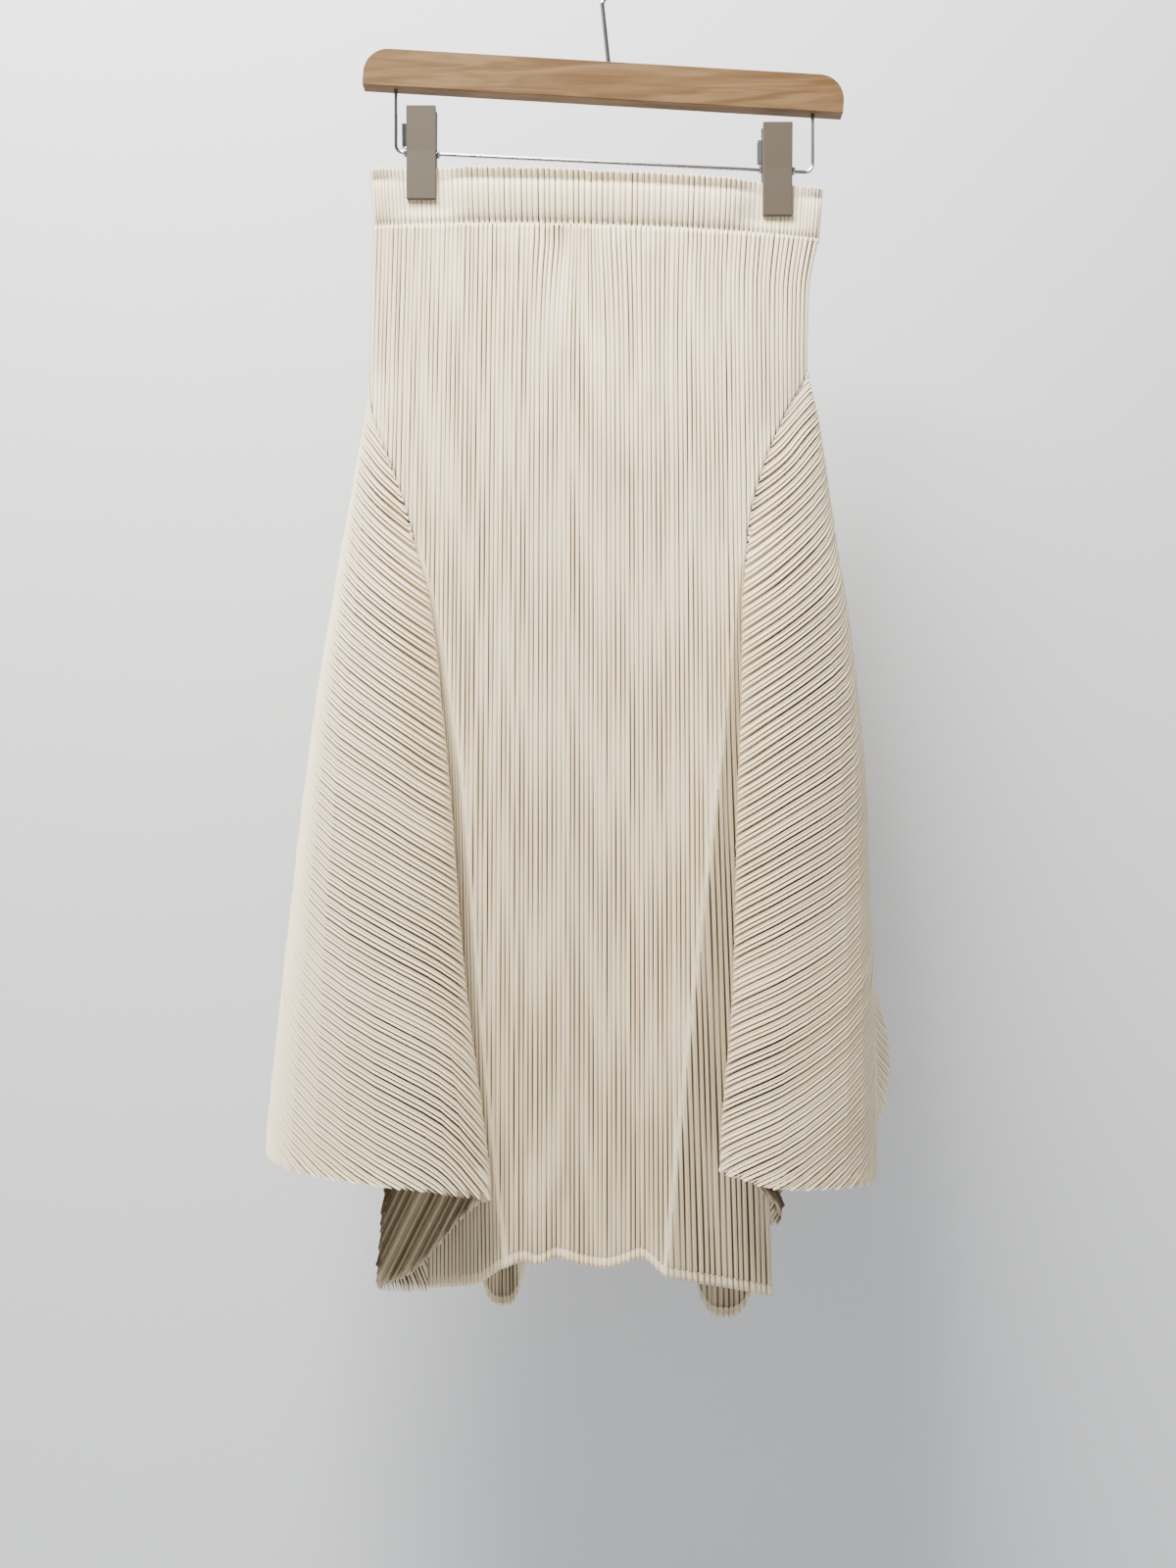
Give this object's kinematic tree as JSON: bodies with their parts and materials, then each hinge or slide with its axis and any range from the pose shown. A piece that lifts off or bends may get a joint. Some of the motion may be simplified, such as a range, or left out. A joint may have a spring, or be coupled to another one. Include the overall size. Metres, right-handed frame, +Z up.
{
  "type": "pleated a-line skirt on a wooden clip hanger",
  "caption": "Fine-pleated A-line skirt with flared side panels folded forward and an elastic waistband with a gathered header, hung by clips from a wooden bar hanger.",
  "frame": {"origin": "inside top of the hanger's hook, where a rod or wall hook holds it", "axes": "+Z up along the hanging skirt, the skirt's front faces -Y, +X to the viewer's right when looking at the front"},
  "size_m": [0.4412, 0.207, 1.0295],
  "materials": {
    "cloth": "ivory pleated cloth with a slight satin sheen",
    "wood": "beech, thin clear satin lacquer",
    "steel": "bright plated steel",
    "jaw": "taupe-grey moulded plastic"
  },
  "bodies": {
    "root": {"front_panel": "cloth", "back_panel": "cloth", "side_panel_left": "cloth", "side_panel_right": "cloth", "waistband": "cloth", "hanger_bar": "wood", "hanger_hook": "steel", "clip_wire": "steel", "clip_front_left": "jaw", "clip_back_left": "jaw", "clip_front_right": "jaw", "clip_back_right": "jaw", "clip_spring_left": "steel", "clip_spring_right": "steel", "clip_stop_left_outer": "steel", "clip_stop_left_inner": "steel", "clip_stop_right_outer": "steel", "clip_stop_right_inner": "steel"}
  },
  "joints": []
}
